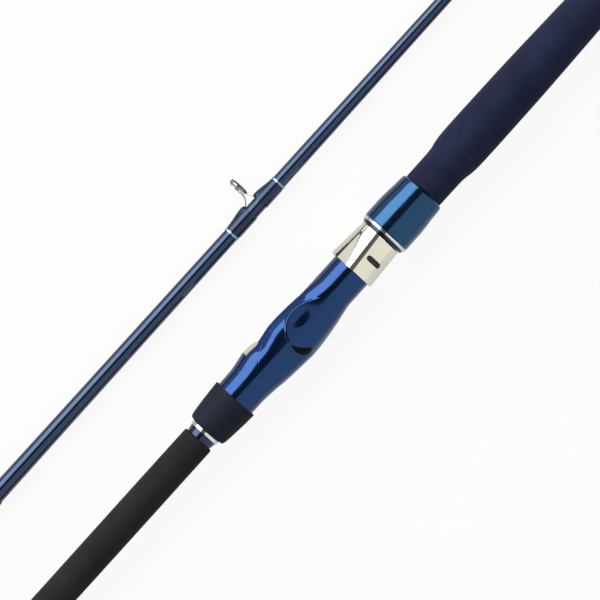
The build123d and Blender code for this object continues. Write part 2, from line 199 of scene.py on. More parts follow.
def clean_mesh(name, verts, faces):
    """A mesh with collapsed points merged, empty faces dropped and every face turned outwards."""
    mesh = bpy.data.meshes.new(name)
    mesh.from_pydata(verts, [], faces)
    bm = bmesh.new()
    bm.from_mesh(mesh)
    bmesh.ops.remove_doubles(bm, verts=bm.verts, dist=MERGE_M)
    bmesh.ops.dissolve_degenerate(bm, dist=DEGENERATE_M, edges=bm.edges)
    bmesh.ops.recalc_face_normals(bm, faces=bm.faces)
    bm.to_mesh(mesh)
    bm.free()
    mesh.update()
    return mesh


def band_faces(columns, row, other):
    """The faces between two rows of points, given the number of each row's first point."""
    turned = [(k + 1) % columns for k in range(columns)]
    return [(row + k, row + m, other + m, other + k) for k, m in enumerate(turned)]


def grid_mesh(name, grids):
    """A mesh of closed skins. Each grid is rows x columns x 3 in metres, joined round both ways."""
    verts, faces = [], []
    for grid in grids:
        rows, columns = grid.shape[:2]
        base = len(verts)
        verts.extend(grid.reshape(-1, 3).tolist())
        for i in range(rows):
            faces += band_faces(columns, base + i * columns, base + (i + 1) % rows * columns)
    return clean_mesh(name, verts, faces)


def capped_mesh(name, rows):
    """A closed skin over rows x columns x 3 in metres, with a flat lid on the first and last rows."""
    count, columns = rows.shape[:2]
    faces = [tuple(range(columns)), tuple(range((count - 1) * columns, count * columns))]
    for i in range(count - 1):
        faces += band_faces(columns, i * columns, (i + 1) * columns)
    return clean_mesh(name, rows.reshape(-1, 3).tolist(), faces)


def node_piece(node, grids, material, body):
    """The piece that stands in for one CAD node, from the grids of its skins."""
    name = f"{node}_form"
    return add_piece(name, grid_mesh(name, grids), material, body, [node])


def around(columns):
    """Angles round the axis, from the up side over +Z."""
    return np.arange(columns) * 2 * math.pi / columns


def wind(profile, columns=96):
    """Rows x columns x 3 local points of a closed (y, r) profile turned about the axis."""
    angle = around(columns)
    profile = np.array(profile, float)
    y = np.repeat(profile[:, :1], columns, axis=1)
    r = profile[:, 1:2]
    return np.stack((-r * np.cos(angle), y, r * np.sin(angle)), axis=2)


def turned_piece(node, rod, corners, material, body, columns=96):
    """A piece turned about a rod's axis from the closed (y, r, radius) corners of its section."""
    grid = rod.world(wind(rounded(corners), columns))
    return node_piece(node, [grid], material, body)


def skin(outer, inner_r):
    """Closes an outer grid with a plain bore of inner_r between its first and last rows."""
    columns = outer.shape[1]
    ends = wind([(outer[-1, 0, 1], inner_r), (outer[0, 0, 1], inner_r)], columns)
    return np.concatenate((outer, ends))


# The rounded end of a bar: its rise as a share of the bar, and its rim and pole as shares of that.
LID_RISE, LID_RIM, LID_POLE = 0.25, 0.6, 1.2


def sweep(path, widths, heights, up, columns=14):
    """A closed bar of oval section along a path, as one grid. Its height is towards up at the start."""
    path = np.array(path, float)
    tangent = np.gradient(path, axis=0)
    tangent /= np.linalg.norm(tangent, axis=1)[:, None]
    sides = []
    side = np.cross(tangent[0], up)
    for direction in tangent:
        side = side - np.dot(side, direction) * direction
        side = side / np.linalg.norm(side)
        sides.append(side)
    side = np.array(sides)[:, None]
    over = np.cross(side, tangent[:, None])
    angle = around(columns)[None, :, None]
    width = np.broadcast_to(widths, len(path))[:, None, None]
    height = np.broadcast_to(heights, len(path))[:, None, None]
    rows = path[:, None] + 0.5 * (width * np.cos(angle) * side + height * np.sin(angle) * over)
    lids = []
    for end, outward in ((0, -1), (-1, 1)):
        lift = outward * LID_RISE * min(width[end, 0, 0], height[end, 0, 0]) * tangent[end]
        pole = np.repeat((path[end] + LID_POLE * lift)[None], columns, axis=0)
        lids.append([path[end] + LID_RIM * (rows[end] - path[end]) + lift, pole])
    return np.concatenate((lids[0][::-1], rows, lids[1]))


def cutter(name, rows):
    """A solid to cut with, from the rows of its skin."""
    return new_object(name, capped_mesh(name, rows))


def cut(obj, cutting):
    """Removes the cutting object's volume from the piece and deletes that object."""
    tool = obj.modifiers.new("cut", "BOOLEAN")
    tool.operation = "DIFFERENCE"
    tool.solver = "EXACT"
    tool.object = cutting
    graph = bpy.context.evaluated_depsgraph_get()
    mesh = bpy.data.meshes.new_from_object(obj.evaluated_get(graph))
    obj.modifiers.clear()
    old = obj.data
    obj.data = mesh
    bpy.data.meshes.remove(old)
    bpy.data.objects.remove(cutting)
    smooth(mesh)


# ---- Materials
# Texture coordinates are the object's own, in metres, so a scale of 1000 is 1 mm. The numbers are
# those of a colour Mix node's sockets, for its two colours and its result.
MIX_A, MIX_B, MIX_OUT = 6, 7, 2


class Paint:
    """A material with its shader and short calls for the nodes used here."""

    def __init__(
        self, name, color, roughness, metallic=0.0, coat=0.0, coat_roughness=0.03, specular=0.5
    ):
        self.material = bpy.data.materials.new(name)
        self.material.use_nodes = True
        self.tree = self.material.node_tree
        self.shader = self.tree.nodes["Principled BSDF"]
        self.set("Base Color", (*color, 1.0))
        self.set("Roughness", roughness)
        self.set("Metallic", metallic)
        self.set("Coat Weight", coat)
        self.set("Coat Roughness", coat_roughness)
        self.set("Specular IOR Level", specular)
        self.place = self.node("ShaderNodeTexCoord", {}).outputs["Object"]

    def set(self, socket, value):
        self.shader.inputs[socket].default_value = value

    def node(self, kind, inputs, **values):
        """A node with its own settings, and its inputs set to values or linked to outputs."""
        made = self.tree.nodes.new(kind)
        for key, value in values.items():
            setattr(made, key, value)
        for socket, value in inputs.items():
            if isinstance(value, bpy.types.NodeSocket):
                self.link(value, made.inputs[socket])
            else:
                made.inputs[socket].default_value = value
        return made

    def link(self, output, target):
        self.tree.links.new(output, target)

    def stretched(self, scale):
        """Coordinates scaled unevenly, for streaks."""
        return self.node("ShaderNodeMapping", {"Scale": scale, "Vector": self.place}).outputs["Vector"]

    def noise(self, scale, detail=3.0, roughness=0.5, place=None):
        inputs = {"Scale": scale, "Detail": detail, "Roughness": roughness}
        inputs["Vector"] = place or self.place
        return self.node("ShaderNodeTexNoise", inputs).outputs["Fac"]

    def cells(self, scale):
        inputs = {"Scale": scale, "Vector": self.place}
        return self.node("ShaderNodeTexVoronoi", inputs).outputs["Distance"]

    def bands(self, scale, distortion):
        """Fine rings round the rod, as of wound thread."""
        inputs = {"Scale": scale, "Distortion": distortion, "Detail Scale": 2.0, "Vector": self.place}
        made = self.node("ShaderNodeTexWave", inputs, bands_direction="Y", wave_profile="SIN")
        return made.outputs["Fac"]

    def spread(self, value, low=0.0, high=1.0, from_low=0.3, from_high=0.7):
        """A value from from_low..from_high stretched to low..high and held there."""
        inputs = {"From Min": from_low, "From Max": from_high, "To Min": low, "To Max": high}
        inputs["Value"] = value
        return self.node("ShaderNodeMapRange", inputs).outputs["Result"]

    def product(self, first, second):
        made = self.node("ShaderNodeMath", {0: first, 1: second}, operation="MULTIPLY")
        return made.outputs["Value"]

    def two_tone(self, value, dark, light):
        inputs = {MIX_A: (*dark, 1.0), MIX_B: (*light, 1.0), "Factor": value}
        made = self.node("ShaderNodeMix", inputs, data_type="RGBA")
        self.link(made.outputs[MIX_OUT], self.shader.inputs["Base Color"])

    def vary_roughness(self, value, low, high):
        self.link(self.spread(value, low, high), self.shader.inputs["Roughness"])

    def bump(self, value, depth, strength, under=None):
        """A height map of depth metres. Returns the normal, so that a second one can sit on top."""
        inputs = {"Distance": depth, "Strength": strength, "Height": value}
        if under:
            inputs["Normal"] = under
        normal = self.node("ShaderNodeBump", inputs).outputs["Normal"]
        self.link(normal, self.shader.inputs["Normal"])
        return normal


def shade(color, factor):
    return tuple(c * factor for c in color)


def metallic_blue(name, color):
    """Anodised or candy blue: a tinted metal ground with fine flake under a clear coat."""
    paint = Paint(name, color, 0.16, metallic=1.0, coat=0.38, coat_roughness=0.02)
    flake = paint.noise(5200.0, detail=2.0)
    cloud = paint.noise(90.0, detail=2.0)
    paint.two_tone(paint.spread(flake), shade(color, 0.86), shade(color, 1.12))
    paint.vary_roughness(cloud, 0.12, 0.2)
    paint.bump(paint.noise(160.0, detail=1.0), 0.00002, 0.5)
    return paint.material


def clear_blank(name, color):
    """Composite tube, ground with a spiral tape pattern, under a deep clear coat."""
    paint = Paint(name, color, 0.13, metallic=0.9, coat=0.8, coat_roughness=0.03)
    tape = paint.bands(60.0, distortion=0.4)
    flake = paint.noise(4200.0, detail=2.0)
    mixed = paint.product(paint.spread(tape, 0.85, 1.0, 0.0, 1.0), paint.spread(flake, 0.7, 1.0))
    paint.two_tone(mixed, shade(color, 0.5), color)
    paint.vary_roughness(paint.noise(120.0), 0.1, 0.16)
    paint.bump(paint.noise(260.0, detail=1.0), 0.00002, 0.4)
    return paint.material


def foam(name, color, cool):
    """Closed-cell foam, ground smooth: fine open cells, soft mottling and a faint sheen."""
    paint = Paint(name, color, 0.86, specular=0.15)
    paint.set("Sheen Weight", 0.03)
    paint.set("Sheen Roughness", 0.5)
    mottle = paint.noise(55.0, detail=4.0, roughness=0.6)
    paint.two_tone(paint.spread(mottle), shade(color, 0.88), cool)
    pores = paint.cells(1900.0)
    grain = paint.noise(2600.0, detail=3.0, roughness=0.7)
    first = paint.bump(paint.spread(pores, 0.0, 1.0, 0.05, 0.45), 0.00006, 0.6)
    paint.bump(grain, 0.00005, 0.6, under=first)
    paint.vary_roughness(grain, 0.78, 0.95)
    return paint.material


def polished(name, color, roughness):
    """Polished metal with smudges and very fine turning marks."""
    paint = Paint(name, color, roughness, metallic=1.0)
    smudge = paint.noise(75.0, detail=3.0)
    paint.vary_roughness(smudge, roughness, roughness + 0.07)
    paint.two_tone(paint.spread(smudge), shade(color, 0.94), color)
    marks = paint.noise(1.0, detail=2.0, place=paint.stretched((60.0, 9000.0, 60.0)))
    paint.bump(marks, 0.000004, 0.35)
    return paint.material


def moulded(name, color, roughness, grain=0.00004, scale=1500.0, specular=0.4):
    """Moulded plastic or rubber with a fine spark-eroded grain."""
    paint = Paint(name, color, roughness, specular=specular)
    texture = paint.noise(scale, detail=3.0, roughness=0.65)
    wear = paint.noise(70.0, detail=3.0)
    paint.two_tone(paint.spread(wear), shade(color, 0.85), shade(color, 1.18))
    paint.vary_roughness(texture, roughness - 0.06, roughness + 0.08)
    paint.bump(texture, grain, 0.7)
    return paint.material


def ceramic(name, color):
    paint = Paint(name, color, 0.12, coat=0.6)
    speck = paint.noise(3800.0, detail=2.0)
    paint.two_tone(paint.spread(speck), shade(color, 0.7), shade(color, 1.4))
    paint.vary_roughness(paint.noise(400.0), 0.08, 0.2)
    paint.bump(speck, 0.000005, 0.4)
    return paint.material


def wound_thread(name, dark, light, metallic, roughness, coat):
    """Thread wound turn by turn and sealed under a smooth coat of resin."""
    paint = Paint(name, light, roughness, metallic=metallic, coat=coat, coat_roughness=0.025)
    turns = paint.bands(1050.0, distortion=0.3)
    strands = paint.noise(1.0, detail=2.0, place=paint.stretched((900.0, 5200.0, 900.0)))
    paint.two_tone(paint.product(turns, paint.spread(strands, 0.6, 1.0)), dark, light)
    paint.bump(turns, 0.00003, 0.5)
    paint.vary_roughness(strands, roughness - 0.05, roughness + 0.08)
    return paint.material


SEAT_BLUE = metallic_blue("seat_blue", (0.0106, 0.047, 0.167))
NUT_BLUE = metallic_blue("nut_blue", (0.0136, 0.0675, 0.168))
CHECK_BLUE = metallic_blue("check_blue", (0.03, 0.041, 0.102))
BLANK_BLUE = clear_blank("blank_blue", (0.016, 0.042, 0.11))
BLACK_FOAM = foam("black_foam", (0.0108, 0.0114, 0.0116), (0.0146, 0.0152, 0.0155))
NAVY_FOAM = foam("navy_foam", (0.0069, 0.0104, 0.0345), (0.0096, 0.0144, 0.0475))
COLLAR = moulded("collar_soft_touch", (0.0048, 0.0072, 0.0185), 0.7, specular=0.2)
# Near-black paint for the crescents under the palm pads: painted shade for the undercut below each
# pad's rear wall.
SHADE_CRESCENT_PAINT = moulded("painted_shade_crescent", (0.0035, 0.004, 0.0065), 0.55, grain=0.00002, specular=0.06)
RUBBER = moulded("butt_rubber", (0.022, 0.022, 0.024), 0.72, grain=0.00007, scale=1100.0)
BLACK_PLASTIC = moulded("black_plastic", (0.013, 0.013, 0.015), 0.45)
BUSH = moulded("bush_foam", (0.22, 0.2, 0.16), 0.85, grain=0.0001, scale=900.0)
DARK_LIP = metallic_blue("lip_dark", (0.02, 0.035, 0.075))
CHROME = polished("hood_chrome", (0.97, 0.94, 0.83), 0.05)
SILVER = polished("silver_ring", (0.88, 0.9, 0.93), 0.07)
STEEL = polished("guide_steel", (0.5, 0.49, 0.46), 0.1)
CERAMIC = ceramic("guide_ceramic", (0.035, 0.036, 0.034))
WRAP = wound_thread("wrap_blue", (0.003, 0.011, 0.04), (0.007, 0.028, 0.095), 0.8, 0.14, 0.7)
TRIM = wound_thread("trim_silver", (0.2, 0.42, 0.56), (0.5, 0.8, 0.93), 0.9, 0.25, 0.6)

# ---- Handle section: butt, grips and rings
BLANK_R = 7.75
CAP_GROOVE, CAP_LAND = 0.9, 2.1
CAP_GROOVE_DEPTH = 0.8
CAP_FRONT_PLAIN = 5.0
CAP_BORE_R = BLANK_R + 2.5


def butt_cap():
    start, end = stations("butt_cap")
    r = reach("butt_cap")
    outline = [(start + 3.0, 0.0), (start + 3.0, 6.0), (start + 0.8, 7.2, 0.5), (start, 8.5, 0.8)]
    outline += [(start, r - 3.2, 2.5), (start + 4.5, r, 2.5)]
    y = start + 6.5
    while y + CAP_GROOVE + CAP_LAND < end - CAP_FRONT_PLAIN:
        far, deep = y + CAP_GROOVE, r - CAP_GROOVE_DEPTH
        outline += [(y, r, 0.25), (y + 0.2, deep, 0.2), (far - 0.2, deep, 0.2), (far, r, 0.25)]
        y += CAP_GROOVE + CAP_LAND
    outline += [(end - CAP_FRONT_PLAIN, r, 1.2), (end - 1.5, r - 2.2, 1.0), (end, r - 4.4, 0.6)]
    outline += [(end, CAP_BORE_R, 0.1), (start + 12.0, CAP_BORE_R, 0.1), (start + 12.0, 0.0)]
    turned_piece("butt_cap", HANDLE, outline, RUBBER, "handle", 128)


def tube_piece(node, outline, bore_r, material, body, columns=96):
    """A turned piece on the handle's axis with a plain bore, from the corners of its outside."""
    corners = list(outline) + [(outline[-1][0], bore_r, 0.0), (outline[0][0], bore_r, 0.0)]
    turned_piece(node, HANDLE, corners, material, body, columns)


def rear_grip():
    start, end = stations("rear_grip")
    r = reach("rear_grip")
    length = end - start
    rows = [(start + length * t, r + 0.05 * math.sin(9 * t), 0.0) for t in np.linspace(0, 1, 40)[1:-1]]
    outline = [(start, r, 0.3)] + rows + [(end - 0.5, r, 0.4), (end, r - 0.9, 0.3)]
    tube_piece("rear_grip", outline, BLANK_R, BLACK_FOAM, "handle", 128)


def rear_trim():
    start, end = stations("rear_check")
    outline = [(start, 8.6, 0.2), (start + 1.2, 8.9, 0.6), (end - 0.8, 9.3, 0.5), (end, 9.6, 0.2)]
    tube_piece("rear_check", outline, BLANK_R, CHECK_BLUE, "handle")
    start, end = stations("rear_ring")
    r = reach("rear_ring")
    low = r - 0.5
    outline = [(start, low, 0.3), (start + 0.35, r, 0.4), (end - 0.35, r, 0.4), (end, low, 0.3)]
    tube_piece("rear_ring", outline, BLANK_R, SILVER, "handle")


def rear_collar():
    start, end = stations("rear_collar")
    swell = monotone([(start, 12.9), (start + 8.0, 13.75), (start + 17.0, 14.5), (end, 15.0)])
    corner = 3.2
    outline = [(start, 9.4, 0.3), (start, 12.5, corner)]
    outline += [(y, float(swell(y)), 0.0) for y in np.linspace(start + corner, end - 1.4, 14)]
    outline += [(end, 15.0, 0.35), (end, 13.9, 0.5), (end - 3.6, 13.42, 0.2)]
    outline += [(end - 3.9, BLANK_R, 0.1), (start, BLANK_R, 0.1)]
    turned_piece("rear_collar", HANDLE, outline, COLLAR, "handle", 128)


def foregrip():
    start, end = stations("foregrip")
    swell = [(0.0, 13.25), (18.0, 13.35), (22.0, 13.6), (27.0, 14.55), (33.0, 15.1), (45.0, 15.25)]
    swell += [(60.0, 15.2), (81.0, 15.1), (99.0, 14.85), (117.0, 14.45), (141.0, 13.9), (165.0, 12.8)]
    swell += [(190.0, 10.9)]
    swell = monotone([(start + y, r) for y, r in swell] + [(end - 4.0, 9.3), (end, 9.0)])
    outline = [(start, 13.25, 0.2)]
    outline += [(y, float(swell(y)), 0.0) for y in np.linspace(start + 1, end - 3, 130)]
    outline += [(end - 1.0, 9.15, 0.8), (end, 8.3, 0.5)]
    tube_piece("foregrip", outline, BLANK_R, NAVY_FOAM, "handle", 128)
    start, end = stations("foregrip_check")
    outline = [(start, 9.2, 0.3), (start + 1.4, 9.2, 0.5), (end - 1.2, 8.5, 0.8), (end, 8.1, 0.3)]
    tube_piece("foregrip_check", outline, BLANK_R, CHECK_BLUE, "handle")


# ---- Reel seat body
SEAT_COLUMNS = 420
SEAT_STEP = 0.5
PAD_STEP = 0.24
PAD_SPAN = (-75.0, -8.0)
SADDLE_R = 12.9
SADDLE_EDGE = math.radians(33.0)
HOOD_LIP = -69.6
INSERT_FRONT = -59.0
SEAT_BORE_R = 10.0

# Outer radius of the seat towards the reel, towards the palm and to the sides, by station, and the
# power of its oval on the reel side.
REEL_REACH = monotone(
    [(-97, 13.3), (-84, 13.4), (-78, 14.0), (-72, 15.0), (-69, 15.35), (-64, 14.9), (-60, 14.9)]
    + [(-54, 15.7), (-47, 16.5), (-42, 16.6), (-36, 16.2), (-24, 15.5), (-18, 14.9), (-12, 14.0)]
    + [(-4, 12.95), (14, 12.94)]
)
PALM_REACH = monotone(
    [(-97, 13.3), (-84, 13.35), (-78, 13.8), (-72, 14.4), (-66, 15.3), (-60, 15.9), (-54, 16.4)]
    + [(-48, 16.85), (-42, 17.2), (-36, 17.0), (-30, 16.5), (-24, 15.85), (-18, 15.05), (-12, 13.95)]
    + [(-5, 12.96), (14, 12.94)]
)
HALF_WIDTH = monotone(
    [(-97, 13.3), (-84, 13.35), (-76, 13.9), (-69, 14.4), (-60, 15.0), (-48, 15.6), (-40, 15.7)]
    + [(-30, 15.2), (-20, 14.4), (-12, 13.6), (-4, 12.95), (14, 12.94)]
)
SQUARENESS = monotone(
    [(-97, 2.0), (-78, 2.0), (-66, 2.15), (-54, 2.5), (-46, 2.8), (-34, 2.8), (-20, 2.4), (-10, 2.1)]
    + [(-2, 2.0), (14, 2.0)]
)

# Lines on the seat seen from the side: station and distance from the axis towards the palm.
# The palm pad's edge, and the two edges of the dark crescent let in at its rear end: a near-black piece
# that paints the shade under the pad's rear wall.
PAD_EDGE = [(-12.0, -2.2), (-18.6, -6.6), (-23.5, -9.0), (-29.5, -10.5), (-35.5, -10.2), (-40.8, -7.6)]
PAD_EDGE += [(-44.6, -3.8), (-46.9, 1.5), (-47.5, 7.0), (-46.2, 11.6), (-42.6, 14.6)]
PAD_REST = [(-30.0, 24.0), (-4.0, 12.0), (-6.0, 0.0)]
SHADE_CRESCENT_OUTER = [(-45.4, 0.9), (-47.3, 4.8), (-47.8, 8.5), (-46.8, 11.8), (-45.2, 13.5), (-42.8, 14.5)]
SHADE_CRESCENT_OUTER += [(-39.6, 14.0)]
SHADE_CRESCENT_INNER = [(-45.4, 0.9), (-46.4, 2.9), (-45.3, 6.0), (-43.2, 9.3), (-41.0, 11.5), (-39.6, 14.0)]
# The crease where the raised middle of the seat ends behind the pad.
CREASE = [(-45.0, -11.6), (-50.0, -11.2), (-56.0, -10.2), (-62.4, -7.6), (-68.4, -3.9), (-71.5, -0.2)]
CREASE += [(-73.2, 3.4)]
CREASE_DEPTH = 0.035
CREASE_WIDTH = 0.55
PAD_TOP = 16.2
PAD_FALL = 0.052
PAD_ROLL = 0.7
WALL_PALM = 2.9
WALL_REEL_LESS = 2.25
THUMB_DEPTH = 0.5
FLAT_SLOPE = 0.86
FLAT_BLEND = 0.35
# Height, overlap and depth of the near-black crescent pieces that paint the shade under the pads.
SHADE_CRESCENT_PROUD = 0.07
SHADE_CRESCENT_LAP = 0.01
SHADE_CRESCENT_SUNK = 0.35


def distance_to(path, y, x):
    """Shortest distance from points to a polyline."""
    best = np.full(y.shape, 1e9)
    for (ay, ax), (by, bx) in zip(path, path[1:]):
        dy, dx = by - ay, bx - ax
        t = np.clip(((y - ay) * dy + (x - ax) * dx) / (dy * dy + dx * dx), 0, 1)
        gap = np.hypot(y - ay - t * dy, x - ax - t * dx)
        best = np.minimum(best, gap)
    return best


def fine_path(points):
    """A smooth line through points on the seat, as a list of short steps."""
    return [tuple(p) for p in spline_points(points, 8)]


def oval_radius(y, angle):
    c, s = np.abs(np.cos(angle)), np.abs(np.sin(angle))
    reel = np.cos(angle) > 0
    power = np.where(reel, SQUARENESS(y), 2.0)
    side = np.where(reel, REEL_REACH(y), PALM_REACH(y))
    return ((c / side) ** power + (s / HALF_WIDTH(y)) ** power) ** (-1.0 / power)


def seat_radius(y, angle):
    """
    Plain radius of the seat before its pad, crease and saddle: an oval, with a broad flat from each
    edge of the saddle up to the top of the seat.
    """
    oval = oval_radius(y, angle)

    def rise(turn):
        return np.abs(np.sin(turn)) + FLAT_SLOPE * np.cos(turn)

    flat = oval_radius(y, SADDLE_EDGE + 0 * angle) * rise(SADDLE_EDGE) / np.maximum(rise(angle), 0.3)
    window = smoothstep(-72.0, -61.0, y) * smoothstep(-8.0, -22.0, y)
    flat = flat + 4.0 * (1 - window)
    return 0.5 * (oval + flat - np.sqrt((oval - flat) ** 2 + FLAT_BLEND**2)) + 0.5 * FLAT_BLEND * 0.12


def pad_height(x, y, z):
    """How far the pad lifts the surface at x, y where the plain surface is z high."""
    edge = fine_path(PAD_EDGE)
    outline = edge + PAD_REST
    inside = np.zeros(y.shape, bool)
    for (ay, ax), (by, bx) in zip(outline, outline[1:] + outline[:1]):
        crosses = (ax > x) != (bx > x)
        with np.errstate(divide="ignore", invalid="ignore"):
            inside ^= crosses & (y < (by - ay) * (x - ax) / (bx - ax) + ay)
    gap = distance_to(edge, y, x)
    # A short wall and a rolled edge on the reel side, and a long slope on the palm side.
    reel_side = smoothstep(3.0, -3.0, x)
    part = np.clip(gap / (WALL_PALM - WALL_REEL_LESS * reel_side), 0, 1)
    cover = np.where(inside, part * (1.5 - 0.5 * part**2), 0.0)
    fade = smoothstep(-8.0, -24.0, y)
    over = np.clip(x - 2.0, 0, None)
    level = HALF_WIDTH(y) - 15.7 + PAD_TOP - PAD_FALL * (x + 10.5) - 0.022 * over**2
    level = level - PAD_ROLL * np.clip(1 - gap / 1.6, 0, None) ** 2 * reel_side
    thumb = np.hypot((y + 31.0) / 8.0, (x + 4.4) / 5.4)
    level = level - THUMB_DEPTH * (1 - smoothstep(0.0, 1.0, thumb))
    return cover * (level - z) * fade * smoothstep(16.9, 9.5, x)


def seat_body():
    start, end = stations("seat_body")
    rear, front = PAD_SPAN
    spans = ((start, rear, SEAT_STEP), (rear, front, PAD_STEP), (front, end, SEAT_STEP))
    y = np.concatenate([np.arange(*span) for span in spans] + [[end]])
    angle = around(SEAT_COLUMNS)[None, :]
    y = y[:, None] + 0 * angle
    angle = angle + 0 * y
    r = seat_radius(y, angle)
    x, z = -r * np.cos(angle), r * np.sin(angle)

    top = np.abs(z)
    lift = pad_height(x, y, top)
    gap = distance_to(fine_path(CREASE), y, x)
    crease = -CREASE_DEPTH * smoothstep(CREASE_WIDTH, 0.0, gap)
    crease *= smoothstep(4.2, 0.5, x) * smoothstep(-43.0, -49.0, y)
    top = top + (lift + crease) * smoothstep(2.0, 5.0, top)
    z = np.sign(z) * top

    # Saddle for the reel's foot between the two ears.
    turn = np.abs(np.arctan2(z, -x))
    r = np.hypot(x, z)
    saddle = 1.0 - smoothstep(SADDLE_EDGE - 0.035, SADDLE_EDGE + 0.02, turn)
    saddle *= smoothstep(INSERT_FRONT - 3.0, INSERT_FRONT, y)
    r = r + saddle * (SADDLE_R - r) * (r > SADDLE_R)
    x = np.where(saddle > 0, -r * np.cos(turn), x)
    z = np.where(saddle > 0, np.sign(z) * r * np.sin(turn), z)

    grid = HANDLE.world(skin(np.stack((x, y, z), axis=2), SEAT_BORE_R))
    seat = node_piece("seat_body", [grid], SEAT_BLUE, "handle")
    pocket = [(-86.0, 12.6), (-86.0, 12.95), (-74.0, 13.6), (HOOD_LIP - 0.1, 14.5), (HOOD_LIP, 19.0)]
    pocket += [(INSERT_FRONT, 19.0), (INSERT_FRONT, 12.6)]
    cut(seat, cutter("hood_room", arc_rows(pocket, 37.05, 49)))


def arc_rows(profile, half_turn, count):
    """A (y, r) section turned half_turn degrees to each side of the handle's up side, in metres."""
    turns = np.radians(np.linspace(-half_turn, half_turn, count))
    return HANDLE.world([[(-r * math.cos(a), y, r * math.sin(a)) for y, r in profile] for a in turns])


def seat_height(x, y):
    """Half thickness of the finished seat at a station and a distance from the axis."""
    low, high = np.full(x.shape, 0.05), np.full(x.shape, math.pi - 0.05)
    for _ in range(40):
        angle = (low + high) / 2
        reach_x = -seat_radius(y, angle) * np.cos(angle)
        low = np.where(reach_x < x, angle, low)
        high = np.where(reach_x < x, high, angle)
    z = seat_radius(y, angle) * np.sin(angle)
    return z + pad_height(x, y, z)


def painted_shade_crescents():
    """A near-black crescent piece under the rear end of each palm pad: painted shade for the undercut
    below the pad's rear wall.
    """
    along = np.linspace(0, 1, 60)

    def walk(points):
        """Evenly spaced points along a line, as 60 x 1 x 2."""
        path = np.array(fine_path(points))
        length = np.concatenate(([0], np.cumsum(np.hypot(*np.diff(path, axis=0).T))))
        length /= length[-1]
        return np.stack([np.interp(along, length, path[:, i]) for i in (0, 1)], axis=1)[:, None]

    across = np.linspace(0, 1, 11)[None, :, None]
    flat = walk(SHADE_CRESCENT_OUTER) * (1 - across) + walk(SHADE_CRESCENT_INNER) * across
    y, x = flat[..., 0], flat[..., 1]
    z = seat_height(x, y)
    edge = np.minimum(across[..., 0], 1 - across[..., 0])
    top = z + SHADE_CRESCENT_PROUD * smoothstep(0.0, 0.12, edge) + SHADE_CRESCENT_LAP
    # Each crescent is a thin near-black piece laid on the seat as painted shade.
    for name, side in (("painted_shade_crescent_left", 1), ("painted_shade_crescent_right", -1)):
        upper = np.stack((x, y, side * top), axis=2)
        lower = np.stack((x, y, side * (z - SHADE_CRESCENT_SUNK)), axis=2)[:, ::-1]
        mesh = capped_mesh(name, HANDLE.world(np.concatenate((upper, lower), axis=1)))
        add_piece(name, mesh, SHADE_CRESCENT_PAINT, "handle")


def fixed_hood():
    """The curved insert that holds the rear of the reel's foot, with its rolled lip."""
    front = INSERT_FRONT - 0.2
    outline = [(-85.6, 12.72, 0.1), (-85.6, 12.88, 0.1), (-74.0, 13.5, 0.0)]
    outline += [(HOOD_LIP - 0.2, 14.4, 0.1), (HOOD_LIP + 0.12, 15.2, 0.3)]
    outline += [(HOOD_LIP + 3.0, 15.15, 2.0), (HOOD_LIP + 7.5, 14.6, 2.0)]
    outline += [(front, 13.7, 0.4), (front, 12.95, 0.3), (HOOD_LIP + 1.0, 12.72, 0.3)]
    mesh = capped_mesh("fixed_hood_insert_form", arc_rows(rounded(outline), 36.9, 65))
    add_piece("fixed_hood_insert_form", mesh, CHROME, "handle", ["fixed_hood_insert"])


# ---- Sliding hood, threaded barrel and lock nut
HOOD_WALL = 0.42
RIDGE_POWER = 1.8
FACET_SLOPE = math.tan(math.radians(45.0))
LEDGE = 0.17
LEDGE_RISE = 0.02
SIDE_SPREAD = 1.025
ROOF_SLOPE = math.radians(50.0)
SLOT_STATION = 23.0
SLOT_TILT = math.radians(29.0)
SLOT_LONG = 11.6
SLOT_SHORT = 3.5
SLOT_DEPTHS = (11.0, 18.0)
THREAD_PITCH = 2.0
THREAD_R = 12.0
THREAD_DEPTH = 0.75
THREAD_STEP = 0.2
BARREL_BORE_R = 9.0
NUT_BORE_R = 12.3


